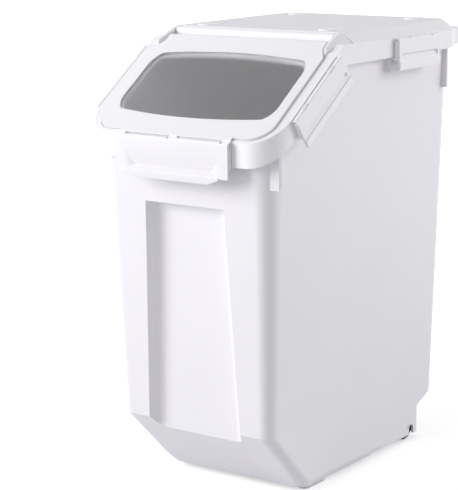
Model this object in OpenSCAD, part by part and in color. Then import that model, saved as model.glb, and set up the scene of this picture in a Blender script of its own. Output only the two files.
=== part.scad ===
// Rice bin with a flip lid
// A tapered bin stands on two front feet and two rear wheels. Four side latches hold a lid frame on its rim.
// A flip lid with a clear window closes the sloped mouth of the frame, and a front latch keeps it shut.
// Millimetres, Z up, front towards -Y. The origin is on the ground under the middle of the whole object.

/* [Lid frame] */
// Overall width of the lid frame
lid_w = 259; // [245:1:275]
// Length of the lid frame from its front edge to its rear edge
lid_len = 410; // [395:1:430]
// Corner radius of the lid frame seen from above
lid_r = 36; // [32:1:40]
// Height of the lid's front edge above the ground
front_z = 415.5; // [405:0.5:425]
// Height of the level rear part above the ground
rear_z = 509; // [502:0.5:516]
// Length of the sloped part, measured level
slope_run = 136; // [130:1:145]
// Depth of the skirt, square to the top surface
skirt_h = 22; // [21:0.5:25]
// Wall thickness of the lid frame
lid_wall = 2.6; // [2.2:0.1:3]
// Length of the level strip between the slope and the deck
hinge_strip = 21.6; // [20:0.2:24]
// Rise of the deck above the level rear part
deck_rise = 11.4; // [10:0.2:14]
// Width of the sloped shoulder at each side of the deck
shoulder_w = 15.8; // [12:0.2:18]
// Width of the sloped shoulder behind the deck
rear_shoulder_w = 20; // [16:1:24]
// Corner radius of the deck
deck_r = 12; // [8:1:18]
// Diameter of the round pads on the deck
pad_d = 27; // [20:1:32]
// Thickness of the round pads
pad_h = 1.2; // [0.8:0.1:2]
// Distance of each pad's middle from the sides of the deck
pad_inset = 30; // [24:1:40]
// Distance of each pad's middle from the front or the rear edge of the deck
pad_end = 22; // [18:1:34]

/* [Rear handle] */
// How far the handle stands out behind the lid frame
handle_reach = 38; // [34:1:44]
// Distance of the handle's sides from the sides of the lid frame
handle_in = 11.5; // [9:0.5:20]
// Thickness of the handle's bar
handle_bar = 12; // [10:0.5:14]
// Height of the handle
handle_h = 19; // [16:0.5:21]
// Corner radius of the handle
handle_r = 16; // [13:1:20]

/* [Flip lid] */
// Distance of the flip lid's sides from the sides of the lid frame
flip_in = 13; // [12:0.5:15.5]
// Distance of the flip lid's edge from the lid frame's front edge, along the slope
flip_front = 5; // [4:0.5:8]
// Corner radius at the front of the flip lid
flip_r = 25; // [20:1:30]
// Thickness of the flip lid, which stands proud of the frame by as much
flip_wall = 2.5; // [2:0.1:3]
// Depth of the frame's rebate below its top surface
seat_depth = 3; // [2.6:0.1:3.6]
// How far each side of the flip lid steps in beside the hinge
neck_in = 9; // [7:0.5:12]
// Length along which the flip lid narrows to the hinge
neck_len = 15; // [12:1:20]
// Distance from the bend to the end of the narrowing
neck_end = 10; // [8:1:12]
// Thickness of the lip round the flip lid's edge
lip_w = 2; // [1.6:0.1:2.6]
// Gap between the flip lid and its rebate
flip_gap = 1; // [0.6:0.1:1.5]
// Radius of the hinge barrel
barrel_r = 5.4; // [5:0.1:5.6]
// Radius of the hinge pins
hinge_pin_r = 2; // [1.5:0.1:2.5]
// How deep each hinge pin goes into the barrel
hinge_pin_depth = 18; // [12:1:24]
// How deep each hinge pin goes into the fin beside the barrel
hinge_grip = 5; // [4:0.5:6]
// How far each fin runs down the slope ahead of the deck
fin_run = 36.6; // [30:0.2:40]
// Height of the fin's tip above the slope
fin_tip_h = 7; // [5:0.5:8]
// Distance of the fin's tip from the flip lid's side
fin_tip_in = 2.6; // [2:0.1:3.2]
// Length of the block at the end of each fin that holds the pin
fin_block = 12; // [11:0.5:14]

/* [Window and mouth] */
// Width of the flip lid's border at each side of the window
window_side = 11; // [9.5:0.5:20]
// Distance of the window's lower edge from the lid's front edge, along the slope
window_front = 29; // [28:1:36]
// Distance of the window's upper edge from the end of the slope
window_behind = 25; // [24:0.5:40]
// Corner radius of the window
window_r = 28; // [16:1:32]
// Radius of the bow of the window's lower and upper edges
window_bow = 690; // [400:10:1500]
// Width of the rebated border that holds the window panel
window_lap = 3; // [2:0.2:3.4]
// Width of the border between the mouth and the window's outline
mouth_margin = 3; // [1:0.5:4]

/* [Seals] */
// Width of the lid seal
seal_w = 5; // [4:0.2:6]
// Height of the lid seal
seal_h = 2.1; // [1.8:0.1:3]
// Width of the flip seal
flip_seal_w = 4; // [3:0.2:5]
// Gap left at the face that each seal presses on
seal_gap = 0.3; // [0.2:0.05:0.4]

/* [Body] */
// Wall thickness of the body
body_wall = 2.6; // [2.2:0.1:3.2]
// Distance of the body's side wall from the lid frame's side, at the height of the level rear part
side_overhang = 8.1; // [6:0.1:10]
// Distance of the front wall from the lid frame's front edge, at the same height
front_overhang = 7.6; // [6:0.1:9]
// Distance of the rear wall from the lid frame's rear edge, at the same height
rear_overhang = 13; // [11:0.5:15]
// How far each side wall leans in between the level rear part and the front chamfer
side_draft = 17.4; // [14:0.2:19]
// How far the front wall leans in between the same heights
front_draft = 20.2; // [16:0.2:23]
// How far the rear wall leans in between the same heights
rear_draft = 7; // [5:0.5:10]
// Height of the upper edge of the front chamfer
chamfer_z = 85; // [75:1:95]
// Clear height under the bottom
ground_gap = 6; // [5:0.5:9]
// Height of the rounding along the bottom edge
bottom_round = 10; // [8:0.5:12]
// How far the bottom rounding draws the sides in
bottom_inset = 6.7; // [5:0.1:8]
// Length of the rising rear underside, measured level
tail_run = 124; // [115:1:130]
// Height at which the rear underside meets the rear wall
tail_z = 57; // [54:1:62]
// Radius of the upright corners at the top
top_r = 24; // [20:1:28]
// Radius of the upright corners at the bottom
low_r = 15; // [12:1:18]

/* [Front panel] */
// Height of the sunken panel's upper edge
panel_top = 339; // [320:1:350]
// Width of the panel at its upper edge
panel_w_top = 107; // [95:1:115]
// Width of the panel at the chamfer
panel_w_low = 131; // [120:1:140]
// Depth of the panel
panel_depth = 16; // [12:0.5:18]
// Width of the steep part of each side of the panel
panel_side = 7; // [5:0.5:10]
// Width of each side of the panel with the hollow at its foot
panel_foot = 17; // [14:0.5:20]

/* [Rim] */
// Distance of the rim's collar from the lid frame's outline
collar_inset = 12.2; // [11.5:0.1:13]
// Thickness of the collar
collar_t = 2.6; // [2.2:0.1:3]
// Thickness of the flange that the side latches hook under
flange_t = 3; // [2.5:0.1:4]
// Gap between the flange and the inside of the skirt
flange_gap = 0.8; // [0.5:0.1:1]
// How far the ribs stand back from the flange's edge
rib_setback = 0.4; // [0.3:0.1:2]
// Thickness of the ribs
rib_t = 3; // [2:0.5:5]
// Distance of the front corner ribs from the lid frame's front edge
front_rib_back = 21; // [18:1:26]
// Depth of the front corner ribs below the lid's top surface
front_rib_depth = 54; // [40:1:60]
// How far the ribs of the rear side latches start ahead of these latches
latch_rib_ahead = 1.5; // [0:0.5:4]
// Depth of these ribs below the lid's top surface
latch_rib_depth = 39; // [32:1:50]
// Distance of the rear corner ribs from the lid frame's rear edge
rear_rib_ahead = 38; // [32:1:42]
// Depth of the rear corner ribs below the lid's top surface
rear_rib_depth = 69; // [50:1:75]

/* [Latches] */
// Radius of a latch's barrel
latch_r = 2.7; // [2.5:0.1:2.8]
// Radius of a latch pin
latch_pin_r = 1.2; // [1:0.1:1.4]
// Gap between a latch's barrel and the skirt
latch_gap = 0.5; // [0.4:0.05:0.8]
// Thickness of a latch's skin over the knuckles
latch_skin = 1.25; // [1:0.05:1.5]
// Thickness of a latch's panel
latch_wall = 2.6; // [2.2:0.1:2.8]
// Width of each knuckle on the frame or on the flip lid
knuckle_w = 10; // [8:0.5:12]
// Gap between neighbouring knuckles
knuckle_gap = 0.35; // [0.3:0.05:0.5]
// Gap between a closed hook's tip and the edge that it snaps under
hook_clear = 0.3; // [0.3:0.05:0.6]
// Gap between a closed hook and the skirt's lower edge
hook_gap = 0.5; // [0.4:0.1:0.7]
// Thickness of a hook
hook_t = 3.4; // [3:0.1:3.8]
// Depth of the finger scoop in a latch's face
scoop_depth = 4; // [2.5:0.1:4.1]
// Length of the plain panel left at each end of a side latch's scoop
scoop_end = 4.5; // [4:0.5:8]
// Length of the slanted face at each end of a side latch's scoop
side_scoop_run = 1; // [0.5:0.5:6]
// Length of the slanted face at each end of the front latch's scoop
front_scoop_run = 12; // [8:1:16]
// Thickness of the web that closes each end of a latch
latch_web = 3; // [2:0.2:4]
// Length of each sloped side latch
slope_latch_len = 108; // [95:1:112]
// Distance of the sloped side latches from the front edge, along the slope
slope_latch_start = 40; // [36:1:44]
// Length of each rear side latch
rear_latch_len = 92; // [80:1:100]
// Distance of the rear side latches from the bend
rear_latch_start = 106; // [98:1:112]
// Height of a side latch, square to the top surface
side_latch_h = 34; // [32:0.5:36]
// Height of the pull lip under a side latch's scoop
side_lip_h = 9; // [7:0.5:10]
// Distance of a side latch's scoop below its axis
side_scoop_top = 15.5; // [13:0.5:16]
// Distance of the deepest line of a side latch's scoop below its axis
side_scoop_low = 16.5; // [16.5:0.5:20]
// Width of the front latch
front_latch_w = 152; // [136:1:160]
// Height of the front latch
front_latch_h = 44; // [42:0.5:47]
// Height of the pull tab under the front latch
front_lip_h = 7.5; // [6.5:0.5:9]
// Distance of the front latch's scoop below its axis
front_scoop_top = 15; // [13:0.5:18]
// Distance of the deepest line of the front latch's scoop below its axis
front_scoop_low = 30.5; // [26:0.5:31]
// Width of the front latch's scoop, and of the pull tab under it
front_tab_w = 128; // [110:1:136]
// How far each end of the pull tab slants in
front_tab_slant = 14; // [8:1:18]

/* [Wheels and feet] */
// Diameter of the wheels
wheel_d = 34; // [32:0.5:36]
// Width of the wheels
wheel_w = 16; // [14:0.5:18]
// Diameter of the axles
axle_d = 5; // [4:0.5:6]
// Distance of the wheel's axis from the rear edge of the lid frame
wheel_back = 64; // [61:0.5:67]
// Gap beside and round each wheel
wheel_gap = 1; // [0.8:0.1:1.5]
// Distance of the housings' outer faces from the body's side at the chamfer
housing_in = 11.5; // [9:0.5:14]
// Wall thickness of the wheel housings
housing_wall = 2.8; // [2.4:0.1:4]
// Height of the wheel housings, which run up into the body
housing_h = 45; // [42:1:48]
// Radius of the small opening in each housing's outer wall
peep_r = 5; // [4:0.5:6]
// Distance of that opening behind the wheel's axis
peep_back = 7.5; // [6:0.5:9]
// Height of the middle of the opening's round top
peep_z = 13; // [11:0.5:15]
// Length of the feet
foot_len = 44; // [36:1:50]
// Width of the feet
foot_w = 15; // [12:0.5:18]
// Distance of the feet's middle from the body's side at the chamfer
foot_in = 22; // [20:0.5:26]
// Distance of the feet's front end from the front edge of the flat bottom
foot_setback = 14; // [12:1:20]

/* [Hidden] */
$fn = 64;
// Smoothness of the corners that are blended by a hull
hull_fn = 40;
// Running clearance between a pin and its bore, on the radius
pin_fit = 0.05;
// How far a pin's end stays behind the end of its bore
pin_back = 0.4;
// Small overlap that makes joined shapes one solid
eps = 0.01;
// A length that reaches past everything
far = 700;
// How far the side view of the lid's surface runs on past both ends
past = 60;

SIDES = [["left", -1], ["right", 1]];

// How far a latch's pull lip stands out from its panel
lip_out = 1.5;
// How far a latch's axis, and the face of its panel, stand out from the skirt and from the axis
latch_axis_out = latch_r + latch_gap;
latch_out = latch_r + knuckle_gap + latch_skin;
front_reach = latch_axis_out + latch_out + lip_out;
rim_front = -(front_reach + lid_len + handle_reach) / 2 + front_reach;
rim_rear = rim_front + lid_len;
rim_mid = (rim_front + rim_rear) / 2;

slope = atan((rear_z - front_z) / slope_run);
slope_len = slope_run / cos(slope);
deck_front = rim_front + slope_run + hinge_strip;
deck_rear = rim_rear - rear_shoulder_w;
deck_z = rear_z + deck_rise;
deck_w = lid_w - 2 * shoulder_w;

// Depths below the top surface, square to it
seat_floor = seat_depth + lid_wall;
seal_bottom = seat_floor + seal_h;
collar_top = seal_bottom + seal_gap;
seal_channel_wall = 1.5;
seal_channel_slack = 0.2;
seal_channel_bottom = collar_top + 1.5;
seal_inset = collar_inset + (collar_t - seal_w) / 2;
land_outer = seal_inset - seal_channel_slack - seal_channel_wall;
land_inner = seal_inset + seal_w + seal_channel_slack + seal_channel_wall;
flange_inset = lid_wall + flange_gap;

// Widths that follow from the lid frame and the flip lid
handle_w = lid_w - 2 * handle_in;
flip_w = lid_w - 2 * flip_in;
neck_w = flip_w - 2 * neck_in;
window_w = flip_w - 2 * window_side;

// Hinge of the flip lid
hinge_y = deck_front - barrel_r - 0.5;
hinge_z = deck_z - barrel_r - 0.4;
hinge_pin_end = neck_w / 2 + flip_gap + hinge_grip;
flip_lip_bottom = seat_depth - 0.4;

// Hinge of the front latch
front_axis_y = rim_front - latch_axis_out;
front_axis_z = front_z - latch_r + 0.4;
front_hook_top = front_axis_z - (front_z - skirt_h / cos(slope)) + hook_gap;
front_hook_reach = latch_axis_out - hook_clear;

// Hinge of the side latches
side_axis_x = lid_w / 2 + latch_axis_out;
side_axis_n = 3;
side_hook_top = skirt_h - side_axis_n + hook_gap;
side_hook_reach = latch_axis_out + flange_inset - hook_clear;
front_scoop_end = (front_latch_w - front_tab_w) / 2;
slope_knuckles = [slope_latch_len * 0.22, slope_latch_len * 0.78];
rear_knuckles = [rear_latch_len * 0.22, rear_latch_len * 0.78];
rear_latch_y = rim_front + slope_run + rear_latch_start;
// Radius inside which a latch turns, and the height above the axis where its skin ends over a knuckle
latch_sweep = latch_out + 0.3;
skin_top = 1;
// Lean of the face between the flip lid and its front knuckles, which the open latch comes to lie against
nose_lean = 25;

// Body outline: half width, front and rear at each height
body_top_z = rear_z + 20;
body_low_half = lid_w / 2 - side_overhang - side_draft;
body_low_front = rim_front + front_overhang + front_draft;
body_low_rear = rim_rear - rear_overhang - rear_draft;
bottom_front = body_low_front + (chamfer_z - ground_gap);
tail_slope = (tail_z - ground_gap) / tail_run;

foot_x = body_low_half - foot_in;
housing_x = body_low_half - housing_in;
wheel_x = housing_x - housing_wall - wheel_gap - wheel_w / 2;
wheel_y = rim_rear - wheel_back;
wheel_z = wheel_d / 2;
housing_in_x = wheel_x - wheel_w / 2 - wheel_gap - housing_wall;
housing_front = body_low_rear - tail_run - 4;
housing_rear = wheel_y + wheel_d / 2 + wheel_gap + housing_wall;
window_back = slope_len - window_behind;
window_mid = (window_front + window_back) / 2;
window_len = window_back - window_front;

function flip_list(v) = [for (i = [len(v) - 1:-1:0]) v[i]];
function slope_height(y, depth) = front_z + (y - rim_front) * tan(slope) - depth / cos(slope);
function bend_y(depth) = rim_front + (rear_z - depth - front_z + depth / cos(slope)) / tan(slope);
// Side view of the lid's top surface, moved down square to itself by a depth
function lid_line(depth) = [
    [rim_front - past, slope_height(rim_front - past, depth)],
    [bend_y(depth), rear_z - depth],
    [rim_rear + past, rear_z - depth]
];
// How far down the walls the height z lies, as a share that is 0 at the rear part and 1 at the chamfer
function draft_share(z) = (rear_z - z) / (rear_z - chamfer_z);
function side_at(z) = lid_w / 2 - side_overhang - side_draft * draft_share(z);
function front_at(z) = rim_front + front_overhang + front_draft * draft_share(z);
function rear_at(z) = rim_rear - rear_overhang - rear_draft * draft_share(z);
function chamfer_y(z) = body_low_front + (chamfer_z - z);
function tail_y(z) = rear_at(tail_z) - (tail_z - z) / tail_slope;

// A flat rectangle with round corners, centred
module rounded(w, l, r) {
    square([w - 2 * r, l], center = true);
    square([w, l - 2 * r], center = true);
    for (x = [-1, 1], y = [-1, 1])
        translate([x * (w / 2 - r), y * (l / 2 - r)]) circle(r);
}

// The same rectangle as a slab at a height, given by its front and rear edges
module slab(half, front, rear, r, z, h = eps) {
    translate([0, (front + rear) / 2, z]) linear_extrude(h) rounded(2 * half, rear - front, r);
}

// Everything between two depths below the lid's top surface
module band(top, bottom) {
    rotate([90, 0, 90]) linear_extrude(far, center = true)
        polygon(concat(lid_line(top), flip_list(lid_line(bottom))));
}

// Everything below a depth under the lid's top surface
module below(depth) {
    rotate([90, 0, 90]) linear_extrude(far, center = true)
        polygon(concat(lid_line(depth), [[rim_rear + past, -far], [rim_front - past, -far]]));
}

// The lid frame's outline moved in by an inset, as an upright prism
module upright(inset) {
    translate([0, rim_mid, -1]) linear_extrude(far)
        rounded(lid_w - 2 * inset, lid_len - 2 * inset, lid_r - inset);
}

// A ring that follows the lid's outline and its top surface
module rim_ring(outer, inner, top, bottom) {
    intersection() {
        band(top, bottom);
        difference() {
            upright(outer);
            upright(inner);
        }
    }
}

// Puts shapes drawn in the plane of the slope in place: X across, Y up the slope, Z square to it
module on_slope() {
    translate([0, rim_front, front_z]) rotate([slope, 0, 0]) children();
}

// A cylinder along X between two places
module rod_x(x1, x2, r) {
    translate([x1, 0, 0]) rotate([0, 90, 0]) cylinder(h = x2 - x1, r = r);
}

// Body

module tub(wall) {
    r_cut = wall / 2;
    lean = wall * tan(45 / 2);
    chamfer_in = wall / sin(45);
    tail_in = wall / sin(atan(tail_slope));
    round_z = ground_gap + bottom_round;
    floor_z = ground_gap + wall;
    hull($fn = hull_fn) {
        slab(side_at(body_top_z) - wall, front_at(body_top_z) + wall, rear_at(body_top_z) - wall,
            top_r - r_cut, body_top_z);
        slab(side_at(chamfer_z) - wall, body_low_front + wall, rear_at(chamfer_z) - wall,
            low_r - r_cut, chamfer_z + lean);
        slab(side_at(tail_z) - wall, chamfer_y(tail_z) + chamfer_in, rear_at(tail_z) - wall,
            low_r - r_cut, tail_z + wall / 3);
        slab(side_at(round_z) - wall, chamfer_y(round_z) + chamfer_in, tail_y(round_z) - tail_in + wall,
            low_r - r_cut, round_z);
        slab(side_at(ground_gap) - bottom_inset - wall, chamfer_y(floor_z) + chamfer_in,
            tail_y(floor_z) - tail_in + wall, low_r - r_cut - 2, floor_z);
    }
}

// A thin level slice of the panel's hollow, which starts a little in front of the wall
module panel_slice(width, depth, y, z) {
    half = width / 2;
    ahead = 2;
    middle = (panel_side * 2 + panel_foot) / 3;
    right = [
        [half, -ahead], [half, 0], [half - panel_side, depth * 0.75], [half - middle, depth * 0.91],
        [half - panel_foot, depth]
    ];
    left = [for (p = flip_list(right)) [-p.x, p.y]];
    translate([0, y, z]) linear_extrude(eps) polygon(concat(right, left));
}

// The sunken front panel; the wall offset makes the matching step inside the body
module panel(wall) {
    w_top = panel_w_top + 2 * wall;
    w_low = panel_w_low + 2 * wall;
    top = panel_top + wall;
    low = ground_gap - 4;
    depth = panel_depth + wall;
    widen = (w_low - w_top) / (panel_top - chamfer_z) * (panel_top - low);
    hull() {
        panel_slice(w_top, depth, front_at(panel_top), top);
        panel_slice(w_top + widen, depth, body_low_front, low);
    }
}

// A rib between the side wall and the flange, down to a depth under the lid's top surface
module rim_rib(side, front, depth) {
    inner = lid_w / 4;
    intersection() {
        band(skirt_h - eps, depth);
        upright(flange_inset + rib_setback);
        translate([side > 0 ? inner : -lid_w, front, 0]) cube([lid_w - inner, rib_t, far]);
    }
}

module wheel_housing(side) {
    mid = (housing_x + housing_in_x) / 2;
    width = housing_x - housing_in_x;
    slot = wheel_w + 2 * wheel_gap;
    slot_r = wheel_d / 2 + wheel_gap;
    peep_y = wheel_y + peep_back;
    translate([side * mid, 0, 0]) difference() {
        translate([-width / 2, housing_front, ground_gap])
            cube([width, housing_rear - housing_front, housing_h]);
        translate([0, wheel_y, wheel_z]) rod_x(-slot / 2, slot / 2, slot_r);
        translate([-slot / 2, wheel_y - slot_r, 0]) cube([slot, 2 * slot_r, wheel_z]);
        // A small opening with a round top in the outer wall shows the wheel
        mirror([side > 0 ? 0 : 1, 0, 0]) {
            translate([0, peep_y - peep_r, 0]) cube([width, 2 * peep_r, peep_z]);
            translate([0, peep_y, peep_z]) rod_x(0, width, peep_r);
        }
        translate([0, wheel_y, wheel_z]) rod_x(-width, width, axle_d / 2 + pin_fit);
    }
}

module bin_body() color("white") {
    difference() {
        union() {
            difference() {
                intersection() {
                    tub(0);
                    below(skirt_h - flange_t / 2);
                }
                panel(0);
            }
            for (s = SIDES) {
                wheel_housing(s[1]);
                rim_rib(s[1], rim_front + front_rib_back, front_rib_depth);
                rim_rib(s[1], rear_latch_y - latch_rib_ahead, latch_rib_depth);
                rim_rib(s[1], rim_rear - rear_rib_ahead, rear_rib_depth);
            }
        }
        difference() {
            tub(body_wall);
            panel(body_wall);
        }
    }
    rim_ring(flange_inset, collar_inset + collar_t, skirt_h - flange_t, skirt_h);
    rim_ring(collar_inset, collar_inset + collar_t, collar_top, skirt_h);
}

module foot_front(side) color("gainsboro") {
    y = bottom_front + foot_setback + foot_len / 2;
    translate([side * foot_x, y, 0]) linear_extrude(ground_gap) rounded(foot_w, foot_len, foot_w / 2 - eps);
}

module wheel(side) color("black") translate([side * wheel_x, wheel_y, wheel_z]) {
    rim_round = 1.5;
    rim_t = 4;
    hub_t = 3;
    dish = 2;
    difference() {
        union() {
            rod_x(-wheel_w / 2 + rim_round, wheel_w / 2 - rim_round, wheel_d / 2);
            rod_x(-wheel_w / 2, wheel_w / 2, wheel_d / 2 - rim_round);
        }
        rod_x(-wheel_w, wheel_w, axle_d / 2 + pin_fit);
        for (s = [-1, 1]) translate([s * wheel_w / 2, 0, 0]) difference() {
            rod_x(-dish, dish, wheel_d / 2 - rim_t);
            rod_x(-wheel_w, wheel_w, axle_d / 2 + hub_t);
        }
    }
}

module wheel_axle(side) color("silver") {
    half = (housing_x - housing_in_x) / 2 - pin_back;
    translate([side * (housing_x + housing_in_x) / 2, wheel_y, wheel_z]) rod_x(-half, half, axle_d / 2);
}

// Lid frame

// The raised deck with its sloped shoulders, moved in by a wall. Its front is cut square.
module deck_block(wall) {
    base_in = 1 + wall;
    lead = 50;
    edge = 0.4;
    intersection() {
        hull($fn = hull_fn) {
            slab(lid_w / 2 - base_in, deck_front - lead, rim_rear - base_in, lid_r - base_in,
                rear_z - wall - 1, 1);
            slab(deck_w / 2 - wall / 2, deck_front - lead + deck_r, deck_rear - wall / 2, deck_r - wall / 2,
                deck_z - wall - edge, edge);
        }
        translate([-lid_w, deck_front + wall, 0]) cube([2 * lid_w, far, far]);
    }
}

// The shoulder's front end: a tapered fin that runs down beside the flip lid and holds its hinge pin
module hinge_fin(side) {
    inner = neck_w / 2 + flip_gap;
    width = deck_w / 2 - inner;
    tip = [1.6, 2];
    tip_y = deck_front - fin_run;
    tip_low = slope_height(tip_y, seat_depth);
    tip_high = slope_height(tip_y, 0) + fin_tip_h;
    seat = rear_z - seat_floor;
    drop = 2.4;
    lap = 2;
    mirror([side > 0 ? 0 : 1, 0, 0]) hull() {
        translate([flip_w / 2 - fin_tip_in, tip_y, tip_low]) cube([tip.x, tip.y, tip_high - tip_low]);
        translate([inner, deck_front - fin_block, seat]) cube([width, fin_block + lap, deck_z - drop - seat]);
        translate([inner, deck_front - lap, seat]) cube([width, 2 * lap, deck_z - seat - eps]);
        translate([inner, deck_front - lap, seat])
            cube([lid_w / 2 - lid_wall - inner, 2 * lap, seat_floor + eps]);
    }
}

// The loop behind the lid frame, joined to its skirt
module handle() {
    slot_w = handle_w - 2 * handle_bar - 2;
    slot_l = handle_reach - handle_bar;
    lead = lid_r + handle_r;
    translate([0, 0, rear_z - skirt_h + 1]) linear_extrude(handle_h) difference() {
        translate([0, rim_rear + (handle_reach - lead) / 2]) rounded(handle_w, handle_reach + lead, handle_r);
        translate([0, rim_rear + slot_l / 2]) rounded(slot_w, slot_l, handle_r / 2);
        translate([0, rim_mid]) rounded(lid_w - lid_wall, lid_len - lid_wall, lid_r - lid_wall / 2);
    }
}

// Outline of the flip lid on the slope, grown by a gap or a wall
module flip_outline(grow, back) {
    half = flip_w / 2 + grow;
    r = flip_r + grow;
    front = flip_front - grow;
    translate([-half + r, front]) square([2 * (half - r), r + eps]);
    for (s = [-1, 1]) translate([s * (half - r), front + r]) circle(r);
    translate([-half, front + r]) square([2 * half, back - front - r]);
}

// The part of the flip lid's outline that narrows towards the hinge
module flip_neck(grow) {
    half = flip_w / 2 + grow;
    neck = neck_w / 2 + grow;
    wide_end = slope_len - neck_end - neck_len;
    polygon([
        [-half, wide_end], [-neck, wide_end + neck_len], [-neck, slope_len + 3],
        [neck, slope_len + 3], [neck, wide_end + neck_len], [half, wide_end]
    ]);
}

// The frame's rebate as a prism that follows the slope and the level strip
module seat_region(grow) {
    half = flip_w / 2 + flip_gap + grow;
    on_slope() translate([0, 0, -30]) linear_extrude(60) flip_outline(flip_gap + grow, slope_len + 3);
    translate([-half, bend_y(0) - 1, rear_z - 20]) cube([2 * half, deck_front + grow - bend_y(0) + 1, 60]);
}

// The flip lid as a prism; its outline narrows before the hinge
module flip_region(grow) {
    neck = neck_w / 2 + grow;
    on_slope() translate([0, 0, -30]) linear_extrude(60) {
        flip_outline(grow, slope_len - neck_end - neck_len + eps);
        flip_neck(grow);
    }
    translate([-neck, bend_y(0) - 1, rear_z - 20]) cube([2 * neck, hinge_y - bend_y(0) + 1, 60]);
}

// The mouth or the window: a prism square to the slope, with bowed lower and upper edges
module mouth_prism(grow, low, high) {
    bow = window_bow + grow;
    on_slope() translate([0, window_mid, low]) linear_extrude(high - low) intersection() {
        rounded(window_w + 2 * grow, window_len + 2 * grow, window_r + grow);
        translate([0, window_len / 2 + grow - bow]) circle(bow, $fn = 720);
        translate([0, bow - window_len / 2 - grow]) circle(bow, $fn = 720);
    }
}

// Moves and turns shapes drawn at a side latch's axis: X outwards, Y along the axis, Z square to the surface
module at_slope_latch(side) {
    on_slope() translate([side * side_axis_x, slope_latch_start, -side_axis_n])
        mirror([side > 0 ? 0 : 1, 0, 0]) children();
}

module at_rear_latch(side) {
    translate([side * side_axis_x, rear_latch_y, rear_z - side_axis_n])
        mirror([side > 0 ? 0 : 1, 0, 0]) children();
}

module rod_y(y1, y2, r) {
    translate([0, y1, 0]) rotate([-90, 0, 0]) cylinder(h = y2 - y1, r = r);
}

module frame_knuckles(places) {
    for (y = places) {
        rod_y(y - knuckle_w / 2, y + knuckle_w / 2, latch_r);
        translate([-latch_axis_out - 1, y - knuckle_w / 2, -latch_r / 2])
            cube([latch_axis_out + 1, knuckle_w, latch_r]);
    }
}

module frame_shell() {
    difference() {
        union() {
            intersection() {
                band(0, skirt_h);
                upright(0);
            }
            deck_block(0);
        }
        intersection() {
            band(lid_wall, skirt_h + 20);
            upright(lid_wall);
        }
        intersection() {
            deck_block(lid_wall);
            upright(land_inner);
        }
    }
}

module lid_frame() color("white") {
    difference() {
        union() {
            frame_shell();
            handle();
            intersection() {
                band(-40, seat_floor);
                for (s = SIDES) hinge_fin(s[1]);
            }
            rim_ring(land_outer, land_inner, lid_wall - eps, seat_floor);
            rim_ring(land_outer, land_outer + seal_channel_wall, seat_floor - eps, seal_channel_bottom);
            rim_ring(land_inner - seal_channel_wall, land_inner, seat_floor - eps, seal_channel_bottom);
            intersection() {
                band(0, seat_floor);
                seat_region(lid_wall);
                upright(eps);
            }
            for (s = SIDES) {
                at_slope_latch(s[1]) frame_knuckles(slope_knuckles);
                at_rear_latch(s[1]) frame_knuckles(rear_knuckles);
            }
        }
        difference() {
            intersection() {
                band(-40, seat_depth);
                seat_region(0);
            }
            for (s = SIDES) hinge_fin(s[1]);
        }
        mouth_prism(-mouth_margin, -30, 1);
        translate([0, hinge_y, hinge_z]) rod_x(-hinge_pin_end, hinge_pin_end, hinge_pin_r + pin_fit);
        for (s = SIDES) {
            at_slope_latch(s[1]) rod_y(0, slope_latch_len, latch_pin_r + pin_fit);
            at_rear_latch(s[1]) rod_y(0, rear_latch_len, latch_pin_r + pin_fit);
        }
    }
}

module lid_seal() color("lightgray")
    rim_ring(seal_inset, seal_inset + seal_w, seat_floor, seal_bottom);

module deck_pads() color("whitesmoke")
    for (x = [-1, 1], y = [deck_front + pad_end, deck_rear - pad_end])
        translate([x * (deck_w / 2 - pad_inset), y, deck_z]) cylinder(h = pad_h, d = pad_d);

// Flip lid

// Knuckles of the front latch's hinge that belong to the flip lid: one at each end and one in the middle
function front_knuckles() = [-front_latch_w / 2 + knuckle_w / 2, 0, front_latch_w / 2 - knuckle_w / 2];

// The plate that carries the knuckles over the frame's front edge
module flip_nose() {
    lead = latch_axis_out / cos(slope);
    lift = 0.3;
    plate_w = front_latch_w - 1;
    intersection() {
        on_slope() translate([-plate_w / 2, -lead, lift])
            cube([plate_w, flip_front + 2 + lead, flip_wall - lift]);
        translate([-far / 2, front_axis_y, front_axis_z]) rotate([-nose_lean, 0, 0])
            translate([0, 0, -far / 2]) cube(far);
    }
    for (x = front_knuckles())
        translate([x, front_axis_y, front_axis_z]) rod_x(-knuckle_w / 2, knuckle_w / 2, latch_r);
}

module flip_lid() color("white") {
    difference() {
        union() {
            intersection() {
                band(-flip_wall, 0);
                flip_region(0);
            }
            intersection() {
                band(-flip_wall, flip_lip_bottom);
                difference() {
                    flip_region(0);
                    flip_region(-lip_w);
                }
            }
            translate([0, hinge_y, hinge_z]) rod_x(-neck_w / 2, neck_w / 2, barrel_r);
            difference() {
                flip_nose();
                for (s = SIDES) translate([s[1] * front_knuckles()[2] / 2, front_axis_y, front_axis_z])
                    rod_x(-front_gap_w() / 2, front_gap_w() / 2, latch_sweep);
            }
        }
        mouth_prism(0, -10, 10);
        mouth_prism(window_lap, -10, flip_wall / 2);
        for (s = SIDES) translate([0, hinge_y, hinge_z]) mirror([s[1] > 0 ? 0 : 1, 0, 0])
            rod_x(neck_w / 2 - hinge_pin_depth - pin_back, neck_w / 2 + 1, hinge_pin_r + pin_fit);
        translate([0, front_axis_y, front_axis_z])
            rod_x(-front_latch_w, front_latch_w, latch_pin_r + pin_fit);
    }
}

// Width of each of the two gaps between these knuckles
function front_gap_w() = front_knuckles()[2] - knuckle_w;

module flip_window() color("lightblue", 0.4) {
    fit = 0.2;
    mouth_prism(-fit, flip_wall / 2 - eps, flip_wall);
    mouth_prism(window_lap - fit, 0, flip_wall / 2);
}

module flip_seal() color("lightgray") {
    outer = window_lap + flip_seal_w + 0.6;
    difference() {
        mouth_prism(outer, -seat_depth + seal_gap, 0);
        mouth_prism(outer - flip_seal_w, -seat_depth, 1);
    }
}

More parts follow.
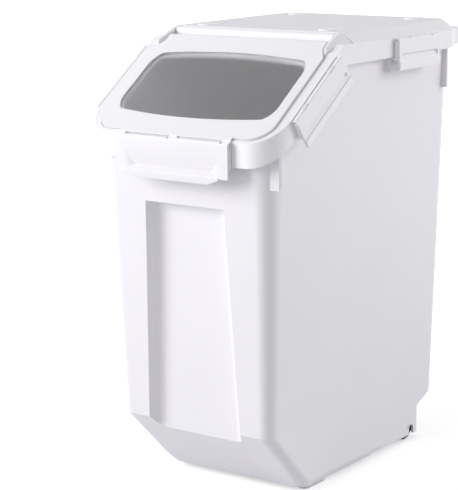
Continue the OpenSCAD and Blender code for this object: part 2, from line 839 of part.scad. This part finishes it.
module flip_hinge_pin(side) color("silver") {
    inner = neck_w / 2 - hinge_pin_depth;
    outer = hinge_pin_end - pin_back;
    translate([0, hinge_y, hinge_z]) mirror([side > 0 ? 0 : 1, 0, 0]) rod_x(inner, outer, hinge_pin_r);
}

// Latches

// Section of a latch's panel seen along its axis: X points out of the object, Y up, the axis is at 0.
// A skin covers the barrel, the panel hangs down from it, and a hook points inwards under the skirt.
// The rounded top stays inside the radius in which the latch turns.
module panel_section(depth, hook_top, reach) {
    back = latch_out - latch_wall;
    polygon([
        [0, 0], [back, -latch_r], [back, -hook_top], [-reach, -hook_top], [-reach, -hook_top - hook_t + 1],
        [back, -hook_top - hook_t], [back, -depth], [latch_out, -depth], [latch_out, 0],
        [latch_out - 0.4, latch_r * 0.52], [latch_out - 1.1, latch_r * 0.85],
        [latch_out - 2.2, latch_r + 0.1], [0, latch_r]
    ]);
}

// Runs a section along a latch's axis from one place to another
module along_axis(y1, y2) {
    translate([0, y2, 0]) rotate([90, 0, 0]) linear_extrude(y2 - y1) children();
}

// The finger scoop in the panel, with slanted ends: in from the face to its deepest line, and out to the lip
module scoop(length, end, run, top, low, ledge) {
    ahead = latch_out + far;
    hull() {
        along_axis(end, length - end)
            polygon([[latch_out, -top], [latch_out + lip_out, -ledge], [ahead, -ledge], [ahead, -top]]);
        along_axis(end + run, length - end - run)
            translate([latch_out - scoop_depth, -low]) square(eps);
    }
}

// The wall behind the scoop
module scoop_back(length, end, run, top, low, ledge) {
    half = latch_wall * 0.3;
    hull() {
        along_axis(end, length - end)
            polygon([[latch_out, latch_wall - top], [latch_out - latch_wall, -ledge], [latch_out, -ledge]]);
        along_axis(end + run, length - end - run)
            translate([latch_out - scoop_depth - latch_wall, -low - half]) square([1, 2 * half]);
    }
}

// The pull lip under the scoop; its ends can slant in
module lip(start, end, slant, ledge, height) {
    back = latch_out - latch_wall;
    front = latch_out + lip_out;
    edge = 1;
    hull() {
        along_axis(start, end)
            polygon([[back, -ledge - 2], [back, -ledge], [front, -ledge], [front, -ledge - 2]]);
        along_axis(start + slant, end - slant)
            polygon([
                [front - 3, -height], [front - 3, -height + edge], [front - 0.5, -height + edge],
                [front - 1, -height]
            ]);
    }
}

// A latch along Y: barrels between its neighbour's knuckles, a panel with a scoop, a hook and a pull lip
module latch(length, places, height, lip_h, scoop_top, scoop_low, end, run, hook_top, reach, slant) {
    ledge = height - lip_h;
    cut_r = latch_r + knuckle_gap;
    cut_w = knuckle_w + 2 * knuckle_gap;
    back = latch_axis_out + 1;
    inner = 0.6 - latch_axis_out;
    lip_end = slant > 0 ? end : 0;
    difference() {
        union() {
            rod_y(0, length, latch_r);
            along_axis(0, length) panel_section(ledge + 0.5, hook_top, reach);
            scoop_back(length, end, run, scoop_top, scoop_low, ledge);
            for (y = [0, length - latch_web]) along_axis(y, y + latch_web)
                translate([inner, -hook_top - 1]) square([back, hook_top]);
            lip(lip_end, length - lip_end, slant, ledge, height);
        }
        scoop(length, end, run, scoop_top, scoop_low, ledge);
        for (y = places) {
            rod_y(y - cut_w / 2, y + cut_w / 2, cut_r);
            along_axis(y - cut_w / 2, y + cut_w / 2) {
                translate([-back, -cut_r]) square([back, 2 * cut_r]);
                translate([-back, skin_top]) square([back + latch_sweep, cut_r]);
            }
        }
        rod_y(-1, length + 1, latch_pin_r + pin_fit);
    }
}

module side_latch(length, places) {
    latch(length, places, side_latch_h, side_lip_h, side_scoop_top, side_scoop_low, scoop_end,
        side_scoop_run, side_hook_top, side_hook_reach, 0);
}

module front_latch() color("white") {
    places = [for (x = front_knuckles()) x + front_latch_w / 2];
    // The latch is drawn along Y, as the side latches are, and turned to face the front
    translate([-front_latch_w / 2, front_axis_y, front_axis_z]) rotate([0, 0, -90])
        latch(front_latch_w, places, front_latch_h, front_lip_h, front_scoop_top, front_scoop_low,
            front_scoop_end, front_scoop_run, front_hook_top, front_hook_reach, front_tab_slant);
}

module front_latch_pin() color("silver")
    translate([0, front_axis_y, front_axis_z]) rod_x(-front_latch_w / 2, front_latch_w / 2, latch_pin_r);

module side_latch_front(side) color("white") at_slope_latch(side) side_latch(slope_latch_len, slope_knuckles);
module side_latch_rear(side) color("white") at_rear_latch(side) side_latch(rear_latch_len, rear_knuckles);
module side_latch_pin_front(side) color("silver") at_slope_latch(side) rod_y(0, slope_latch_len, latch_pin_r);
module side_latch_pin_rear(side) color("silver") at_rear_latch(side) rod_y(0, rear_latch_len, latch_pin_r);

bin_body();
foot_front(-1);  // foot_front_left
foot_front(1);  // foot_front_right
wheel(-1);  // wheel_left
wheel(1);  // wheel_right
wheel_axle(-1);  // wheel_axle_left
wheel_axle(1);  // wheel_axle_right
lid_frame();
lid_seal();
deck_pads();
flip_lid();
flip_window();
flip_seal();
flip_hinge_pin(-1);  // flip_hinge_pin_left
flip_hinge_pin(1);  // flip_hinge_pin_right
front_latch();
front_latch_pin();
side_latch_front(-1);  // side_latch_left_front
side_latch_rear(-1);  // side_latch_left_rear
side_latch_front(1);  // side_latch_right_front
side_latch_rear(1);  // side_latch_right_rear
side_latch_pin_front(-1);  // side_latch_pin_left_front
side_latch_pin_rear(-1);  // side_latch_pin_left_rear
side_latch_pin_front(1);  // side_latch_pin_right_front
side_latch_pin_rear(1);  // side_latch_pin_right_rear
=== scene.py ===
# %% [markdown]
# # Rice bin with a flip lid
# A tapered white bin carries a separate lid frame. A flip lid with a clear window closes the frame's sloped
# mouth. Clips hold the frame on the bin and the flip lid on the frame. This file dresses the measured
# solids: it rounds their edges, gives each part the plastic or metal it is made of, and sets up a studio.

# %% Load the frame
import math

import bmesh
import bpy
from mathutils import Matrix, Vector


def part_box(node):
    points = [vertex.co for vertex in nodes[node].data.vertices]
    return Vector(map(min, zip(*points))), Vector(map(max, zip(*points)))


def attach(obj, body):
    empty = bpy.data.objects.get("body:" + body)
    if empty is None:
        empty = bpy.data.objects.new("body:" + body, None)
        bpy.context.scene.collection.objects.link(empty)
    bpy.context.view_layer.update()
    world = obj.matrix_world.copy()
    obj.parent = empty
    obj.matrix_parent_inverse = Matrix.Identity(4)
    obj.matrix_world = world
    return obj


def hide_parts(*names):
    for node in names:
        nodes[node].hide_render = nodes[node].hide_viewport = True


MM = 0.001
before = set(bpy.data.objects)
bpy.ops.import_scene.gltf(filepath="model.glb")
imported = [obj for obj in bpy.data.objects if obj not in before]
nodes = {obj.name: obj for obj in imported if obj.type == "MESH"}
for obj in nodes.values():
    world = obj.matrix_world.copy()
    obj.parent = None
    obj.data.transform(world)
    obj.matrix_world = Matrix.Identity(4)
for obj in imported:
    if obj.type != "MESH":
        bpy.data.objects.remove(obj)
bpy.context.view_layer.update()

# %% [markdown]
# ## Helpers for materials
# A material is a small tree of shader nodes. Colours are easiest to read as sRGB hex values, but the shader
# works in linear light, so one function converts them. Another adds a node, sets its sockets and links it,
# which keeps each material down to a few lines.

# %% Colour and node helpers


def colour(code):
    """Linear colour of an sRGB hex value such as F0F0F2."""
    parts = [int(code[i:i + 2], 16) / 255 for i in (0, 2, 4)]
    return [c / 12.92 if c < 0.04045 else ((c + 0.055) / 1.055) ** 2.4 for c in parts] + [1.0]


def add(tree, kind, inputs=None, **settings):
    """Adds a node. A value that is a socket is linked, any other value is set."""
    new = tree.nodes.new("ShaderNode" + kind)
    for name, value in settings.items():
        setattr(new, name, value)
    for name, value in (inputs or {}).items():
        if isinstance(value, bpy.types.NodeSocket):
            tree.links.new(value, new.inputs[name])
        else:
            new.inputs[name].default_value = value
    return new


def new_material(name):
    """An empty material, its node tree and its object coordinates in metres."""
    material = bpy.data.materials.new(name)
    material.use_nodes = True
    tree = material.node_tree
    tree.nodes.clear()
    place = add(tree, "TexCoord").outputs["Object"]
    return material, tree, place


def noise(tree, place, size_mm, detail=2.0):
    """A soft noise whose lumps are about size_mm across."""
    inputs = {"Vector": place, "Scale": 1 / (size_mm * MM), "Detail": detail, "Roughness": 0.5}
    return add(tree, "TexNoise", inputs).outputs["Fac"]


def spread(tree, factor, low, high):
    """Turns a factor from 0 to 1 into a value from low to high."""
    return add(tree, "MapRange", {"Value": factor, "To Min": low, "To Max": high}).outputs["Result"]


def two_tone(tree, factor, first, second):
    """Blends two hex colours."""
    return blend_colours(tree, factor, colour(first), colour(second))


def blend_colours(tree, factor, first, second):
    """Blends two linear colours or colour sockets. A Mix node's colour sockets are 6, 7 and output 2."""
    return add(tree, "Mix", {0: factor, 6: first, 7: second}, data_type="RGBA").outputs[2]


def maths(tree, operation, first, second):
    """The result of a calculation with two values."""
    return add(tree, "Math", {0: first, 1: second}, operation=operation).outputs["Value"]


def seen_directly(tree):
    """1 for rays from the camera, from reflections and through the window, 0 for all others."""
    rays = add(tree, "LightPath").outputs
    mirrored = maths(tree, "MAXIMUM", rays["Is Camera Ray"], rays["Is Glossy Ray"])
    return maths(tree, "MAXIMUM", mirrored, rays["Is Transmission Ray"])


def close(tree, shader):
    """Ends a tree in its output."""
    add(tree, "OutputMaterial", {"Surface": shader.outputs[0]})


print("mid grey in linear light:", [round(c, 3) for c in colour("808080")])

# %% [markdown]
# ## Moulded polypropylene
# The bin, the lid frame, the flip lid and the clips are injection moulded in white polypropylene. A polished
# mould leaves a satin surface: it shows soft reflections of the lamps and hardly any texture. What the eye
# does pick up is a faint unevenness, because the melt shrinks a little as it cools. So the base colour and
# the roughness drift slowly, and a very shallow bump with lumps of 14 mm bends the reflections. The bin is a
# shade greyer than the lid, and all of them are slightly violet. The front clip takes the bin's greyer white
# as painted shade, so that it comes out less bright under the near front lamp.

# %% White polypropylene
# The bin's own white, which the front clip also takes as painted shade for the near front lamp.
BIN_WHITE_AND_CLIP_SHADE = ("F2F0F5", "EEECF1")
LID_WHITE = ("F9F8FB", "F5F4F8")


def polypropylene(name, light, dark, roughness, grain_mm, grain_depth_mm):
    """Moulded polypropylene. The grain is the texture of the mould."""
    material, tree, place = new_material(name)
    drift = noise(tree, place, 90)
    sink = noise(tree, place, 14, 1.0)
    grain = noise(tree, place, grain_mm, 2.0)
    waves = add(tree, "Bump", {"Height": sink, "Strength": 0.5, "Distance": 0.06 * MM})
    relief = add(tree, "Bump", {
        "Height": grain, "Strength": 0.6, "Distance": grain_depth_mm * MM, "Normal": waves.outputs["Normal"]})
    shader = add(tree, "BsdfPrincipled", {
        "Base Color": two_tone(tree, drift, light, dark),
        "Roughness": spread(tree, grain, roughness - 0.04, roughness + 0.04),
        "IOR": 1.49,
        "Normal": relief.outputs["Normal"]})
    close(tree, shader)
    return material


bin_white_and_clip_shade = polypropylene("polypropylene_satin_white", *BIN_WHITE_AND_CLIP_SHADE, 0.34, 1.6, 0.006)
print("made", bin_white_and_clip_shade.name)

# %% [markdown]
# ## The deck's grain and painted shade
# The flat deck on top has a fine spark-eroded grain, which takes its gloss away. Its base colour is also made
# greyer than the smooth shoulders: painted shade, for the duller look that the grained top has under the
# lamps.
# One material can do both surfaces: a mask from the height above the ground switches to the grained finish
# and the painted shade at the deck's level, which no other surface of the lid and its clips reaches. The real
# grain is about 0.3 mm, too fine to show in a small picture, so it is drawn at 1.2 mm.

# %% White polypropylene with a grained deck and painted shade on it
DECK_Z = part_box("deck_pads")[0].z


def step_at(tree, value, edge, soft):
    """0 below the edge and 1 above it, with a soft change."""
    inputs = {"Value": value, "From Min": edge - soft, "From Max": edge + soft}
    return add(tree, "MapRange", inputs, clamp=True).outputs["Result"]


def lid_polypropylene():
    material, tree, place = new_material("polypropylene_white_deck_grain_and_painted_shade")
    axes = add(tree, "SeparateXYZ", {"Vector": place})
    mask = step_at(tree, axes.outputs["Z"], DECK_Z - 0.3 * MM, 0.1 * MM)
    drift = noise(tree, place, 90)
    sink = noise(tree, place, 14, 1.0)
    grain = noise(tree, place, 1.2, 2.0)
    waves = add(tree, "Bump", {"Height": sink, "Strength": 0.5, "Distance": 0.06 * MM})
    relief = add(tree, "Bump", {
        "Height": maths(tree, "MULTIPLY", grain, mask), "Strength": 1.0, "Distance": 0.05 * MM,
        "Normal": waves.outputs["Normal"]})
    smooth = two_tone(tree, drift, *LID_WHITE)
    # The deck's colour: its grain tone, made greyer than the lid's white as painted shade.
    deck_grain_and_shade = two_tone(tree, grain, "F3F1F6", "EAE8EE")
    shader = add(tree, "BsdfPrincipled", {
        "Base Color": blend_colours(tree, mask, smooth, deck_grain_and_shade),
        "Roughness": spread(tree, mask, 0.34, 0.6),
        "IOR": 1.49,
        "Normal": relief.outputs["Normal"]})
    close(tree, shader)
    return material


lid_white = lid_polypropylene()
pad_white = polypropylene("polypropylene_matt_pad", "F7F6F9", "F3F2F6", 0.5, 1.2, 0.02)
print("made", lid_white.name, "with its deck at", round(DECK_Z / MM, 1), "mm")

# %% [markdown]
# ## The clear window
# The window is moulded in styrene acrylonitrile, a clear and stiff plastic that kitchen boxes are made of.
# Its index of refraction is 1.57. It is almost colourless, so the eye knows it by its reflections and by
# the way its thick edge gathers light. A slight haze keeps it from looking like cut crystal.

# %% Clear styrene acrylonitrile


def clear_plastic():
    material, tree, place = new_material("styrene_acrylonitrile_clear")
    haze = noise(tree, place, 45)
    ripple = noise(tree, place, 30, 1.0)
    relief = add(tree, "Bump", {"Height": ripple, "Strength": 0.4, "Distance": 0.05 * MM})
    shader = add(tree, "BsdfPrincipled", {
        "Base Color": two_tone(tree, haze, "FCFDFE", "F6F8FA"),
        "Roughness": spread(tree, haze, 0.02, 0.06),
        "IOR": 1.57,
        "Transmission Weight": 1.0,
        "Alpha": 0.62,
        "Normal": relief.outputs["Normal"]})
    close(tree, shader)
    return material


window_clear = clear_plastic()
print("made", window_clear.name)

# %% [markdown]
# ## Rubber, steel and black plastic
# The two seals are extruded silicone, milky and dull. The feet are a pale thermoplastic rubber. The wheels
# are black polypropylene with the fine turned look that a lathe-cut mould leaves. The pins and axles are
# zinc-plated steel wire: bright, with fine scratches along their length.

# %% Small materials


def dull(name, light, dark, roughness, ior, lump_mm):
    """A dull moulded material with a fine mottle."""
    material, tree, place = new_material(name)
    mottle = noise(tree, place, lump_mm, 3.0)
    relief = add(tree, "Bump", {"Height": mottle, "Strength": 0.5, "Distance": 0.03 * MM})
    shader = add(tree, "BsdfPrincipled", {
        "Base Color": two_tone(tree, mottle, light, dark),
        "Roughness": spread(tree, mottle, roughness - 0.06, roughness + 0.06),
        "IOR": ior,
        "Normal": relief.outputs["Normal"]})
    close(tree, shader)
    return material


def plated_steel():
    material, tree, place = new_material("steel_zinc_plated")
    stretched = add(tree, "Mapping", {"Vector": place, "Scale": (0.05, 1, 1)}).outputs["Vector"]
    scratches = noise(tree, stretched, 0.4, 2.0)
    shader = add(tree, "BsdfPrincipled", {
        "Base Color": two_tone(tree, scratches, "C9CACC", "B4B6B9"),
        "Metallic": 1.0,
        "Roughness": spread(tree, scratches, 0.22, 0.38)})
    close(tree, shader)
    return material


silicone = dull("silicone_milky", "E6E7E8", "DCDEE0", 0.5, 1.41, 2.5)
foot_rubber = dull("thermoplastic_rubber_pale", "E4E4E6", "D9D9DC", 0.62, 1.5, 1.5)
black_plastic = dull("polypropylene_black", "1B1B1D", "121214", 0.42, 1.49, 1.8)
zinc = plated_steel()
print("made", [m.name for m in (silicone, foot_rubber, black_plastic, zinc)])

# %% [markdown]
# ## Giving the solids their materials
# Pieces whose shape is right already, such as the seals, the pins and the window, keep their own mesh and
# only take a material. The rest are dressed below, but they take one as well, because the new pieces are
# made from copies.

# %% Assign materials
# The front clip takes the bin's greyer white: painted shade, so it comes out less bright under the near front
# lamp.
FINISH = {
    "bin_body": bin_white_and_clip_shade, "lid_frame": lid_white, "flip_lid": lid_white, "flip_window": window_clear,
    "lid_seal": silicone, "flip_seal": silicone, "deck_pads": pad_white, "front_latch": bin_white_and_clip_shade,
}


def finish_of(name):
    """The material of a node."""
    if name in FINISH:
        return FINISH[name]
    if "pin" in name or "axle" in name:
        return zinc
    if name.startswith("wheel"):
        return black_plastic
    if name.startswith("foot"):
        return foot_rubber
    return lid_white


for name, solid in nodes.items():
    solid.data.materials.clear()
    solid.data.materials.append(finish_of(name))
print("materials in use:", sorted({finish_of(name).name for name in nodes}))

# %% [markdown]
# ## Rounded edges
# No moulded edge is sharp: the mould's own edges are rounded by half a millimetre or more, and these small
# rounds catch the lamps as thin bright lines. A Bevel modifier could make them, but it shrinks all its
# rounds to fit the tightest spot. So each solid is copied, its loose triangles are merged, flat areas
# become single faces, and only the edges with room for the round are bevelled.

# %% Edge rounding
# An edge is rounded if its faces meet at more than SHARP and reach ROOM radii away from it. Creases above
# CREASE stay hard in the shading. Corners within WELD become one corner, and faces within FLAT one face.
SHARP = math.radians(28)
CREASE = math.radians(38)
FLAT = math.radians(0.6)
ROOM = 2.6
WELD = 0.002 * MM


def room(edge, face):
    """How far a face reaches away from one of its edges, square to it."""
    start = edge.verts[0].co
    along = (edge.verts[1].co - start).normalized()
    offsets = [corner.co - start for corner in face.verts]
    return max((offset - along * offset.dot(along)).length for offset in offsets)


def has_room(edge, radius):
    """True for a sharp edge whose two faces leave room for a round."""
    if len(edge.link_faces) != 2 or edge.calc_face_angle() < SHARP:
        return False
    if edge.calc_length() < 2 * radius:
        return False
    return min(room(edge, face) for face in edge.link_faces) > ROOM * radius


def merged_copy(name):
    """A bmesh of a node with its triangles merged into flat faces."""
    bm = bmesh.new()
    bm.from_mesh(nodes[name].data)
    bmesh.ops.remove_doubles(bm, verts=bm.verts, dist=WELD)
    bmesh.ops.dissolve_degenerate(bm, dist=WELD, edges=bm.edges)
    bmesh.ops.dissolve_limit(
        bm, angle_limit=FLAT, use_dissolve_boundaries=False, verts=bm.verts, edges=bm.edges, delimit=set())
    return bm


def make_piece(bm, name, material):
    """Turns a bmesh into an object whose flat faces stay flat and whose rounds are smooth."""
    for face in bm.faces:
        face.smooth = True
    for edge in bm.edges:
        edge.smooth = len(edge.link_faces) == 2 and edge.calc_face_angle() < CREASE
    mesh = bpy.data.meshes.new(name)
    bm.to_mesh(mesh)
    bm.free()
    if "custom_normal" in mesh.attributes:
        mesh.attributes.remove(mesh.attributes["custom_normal"])
    mesh.materials.clear()
    mesh.materials.append(material)
    piece = bpy.data.objects.new(name, mesh)
    bpy.context.scene.collection.objects.link(piece)
    shading = piece.modifiers.new("flat_faces_stay_flat", "WEIGHTED_NORMAL")
    shading.keep_sharp = True
    return piece


def dress(name, body, radius_mm):
    """Replaces a node by a copy with rounded edges, and says how much the rounding took off."""
    bm = merged_copy(name)
    before = bm.calc_volume()
    radius = radius_mm * MM
    edges = [edge for edge in bm.edges if has_room(edge, radius)]
    bmesh.ops.bevel(
        bm, geom=edges, offset=radius, offset_type="OFFSET", affect="EDGES", segments=2, profile=0.5,
        material=-1, clamp_overlap=True, loop_slide=True)
    change = bm.calc_volume() / before - 1
    open_edges = sum(1 for edge in bm.edges if not edge.is_manifold)
    print(f"{name}: {len(edges)} edges rounded, volume {change:+.2%}, open edges {open_edges}")
    piece = make_piece(bm, name + "_moulded", finish_of(name))
    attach(piece, body)
    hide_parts(name)


print("edge rounding ready")

# %% [markdown]
# ## The big mouldings
# The bin, the lid frame and the flip lid have walls of about 2.6 mm, so their outer edges carry rounds of
# 0.7 mm. The flip lid's are a little finer, and the clips, which are the smallest, get 0.5 mm.

# %% Dress the mouldings
WALL_ROUND, FLIP_ROUND, CLIP_ROUND = 0.7, 0.6, 0.5
dress("bin_body", "bin", WALL_ROUND)
dress("lid_frame", "lid", WALL_ROUND)
dress("flip_lid", "flip", FLIP_ROUND)
dress("front_latch", "front_clip", CLIP_ROUND)
for side in ("left", "right"):
    for end in ("front", "rear"):
        dress(f"side_latch_{side}_{end}", f"clip_{side}_{end}", CLIP_ROUND)

# %% [markdown]
# ## The studio
# The object was photographed in white, between a large soft lamp at its front left and another one at its
# right rear. Hardly any of their light reaches the rounded corner between front and side, so that corner
# reads as a soft dark band. The floor looks white to the camera but sends a little less light back up, so
# the undersides stay darker than the front. It keeps the object's shadow.

# %% Floor
# Half the floor's side, and the distances between which its glow rises from NEAR_GLOW to white, in metres
FLOOR_HALF = 40.0
SHADOW_REACH = 0.5
WHITE_FROM = 2.2
NEAR_GLOW = 0.42


def floor_material():
    material, tree, place = new_material("studio_floor")
    distance = add(tree, "VectorMath", {0: place}, operation="LENGTH").outputs["Value"]
    lift = add(tree, "MapRange", {
        "Value": distance, "From Min": SHADOW_REACH, "From Max": WHITE_FROM,
        "To Min": NEAR_GLOW, "To Max": 1.0}, clamp=True)
    white = add(tree, "BsdfDiffuse", {"Color": colour("F4F4F4")})
    glow = add(tree, "Emission", {"Color": colour("FFFFFF"), "Strength": lift.outputs["Result"]})
    seen = add(tree, "AddShader", {0: white.outputs[0], 1: glow.outputs[0]})
    dim = add(tree, "BsdfDiffuse", {"Color": colour("D2D2D4")})
    mix = add(tree, "MixShader", {0: seen_directly(tree), 1: dim.outputs[0], 2: seen.outputs[0]})
    close(tree, mix)
    return material


bm = bmesh.new()
bmesh.ops.create_grid(bm, x_segments=1, y_segments=1, size=FLOOR_HALF)
floor_mesh = bpy.data.meshes.new("studio_floor")
bm.to_mesh(floor_mesh)
bm.free()
floor_mesh.materials.append(floor_material())
floor = bpy.data.objects.new("studio_floor", floor_mesh)
bpy.context.scene.collection.objects.link(floor)
print("floor half size:", FLOOR_HALF, "m")

# %% [markdown]
# ## World and lamps
# The world is a plain white for the camera and for reflections, and a dimmer fill for everything else. The
# lamps are large squares, so their edges stay soft. Each lamp's power follows from how bright it should
# make a white surface that faces it: the light falls off with the square of the distance.

# %% World
scene = bpy.context.scene
world = bpy.data.worlds.new("studio_world")
scene.world = world
world.use_nodes = True
tree = world.node_tree
tree.nodes.clear()
WORLD_FILL = 0.45
strength = spread(tree, seen_directly(tree), WORLD_FILL, 1.0)
sky = add(tree, "Background", {"Color": colour("FFFFFF"), "Strength": strength})
add(tree, "OutputWorld", {"Surface": sky.outputs[0]})
print("world fill:", WORLD_FILL)

# %% Lamps
AIM = Vector((0, 0, 260 * MM))
LAMP_DISTANCE = 3.4
LAMP_SIZE = 1.9


def around(azimuth, elevation, distance):
    """A place round the object. Azimuth 0 is in front, 90 at its right."""
    a, e = math.radians(azimuth), math.radians(elevation)
    return AIM + distance * Vector((math.sin(a) * math.cos(e), -math.cos(a) * math.cos(e), math.sin(e)))


def soft_lamp(name, azimuth, elevation, level):
    """A square lamp that makes a white surface facing it as bright as level."""
    data = bpy.data.lights.new(name, "AREA")
    data.shape = "SQUARE"
    data.size = LAMP_SIZE
    data.energy = level * math.pi ** 2 * LAMP_DISTANCE ** 2
    lamp = bpy.data.objects.new(name, data)
    lamp.location = around(azimuth, elevation, LAMP_DISTANCE)
    lamp.rotation_euler = (AIM - lamp.location).to_track_quat("-Z", "Y").to_euler()
    scene.collection.objects.link(lamp)
    print(f"{name}: {data.energy:.0f} W")


soft_lamp("lamp_front_left", azimuth=-43, elevation=19, level=0.76)
soft_lamp("lamp_right_rear", azimuth=126, elevation=22, level=0.39)

# %% [markdown]
# ## Camera
# The camera stands 2.1 m away at the front right, a little above the lid, with a long lens. Its place and
# direction were found by matching corners of the lid and the bin in the picture with the sizes of the model.

# %% Camera
IMAGE_HEIGHT = 490
FOCAL_PIXELS = 1762.1
CAMERA_AT = Vector((1.15099, -1.70428, 0.6810))
AZIMUTH, ELEVATION, ROLL = 36.017, 11.571, -0.63


def camera_matrix():
    """Camera axes from its azimuth, elevation and roll."""
    a, e, r = (math.radians(angle) for angle in (AZIMUTH, ELEVATION, ROLL))
    ahead = -Vector((math.sin(a) * math.cos(e), -math.cos(a) * math.cos(e), math.sin(e)))
    right = Vector((math.cos(a), math.sin(a), 0))
    up = right.cross(ahead)
    rolled_right = math.cos(r) * right + math.sin(r) * up
    rolled_up = math.cos(r) * up - math.sin(r) * right
    matrix = Matrix((rolled_right, rolled_up, -ahead)).transposed().to_4x4()
    matrix.translation = CAMERA_AT
    return matrix


camera_data = bpy.data.cameras.new("camera")
camera_data.sensor_width = 36
camera_data.lens = FOCAL_PIXELS * camera_data.sensor_width / IMAGE_HEIGHT
camera_data.clip_end = 100
camera = bpy.data.objects.new("camera", camera_data)
camera.matrix_world = camera_matrix()
scene.collection.objects.link(camera)
scene.camera = camera
scene.view_settings.view_transform = "Standard"
print("lens:", round(camera_data.lens, 1), "mm")
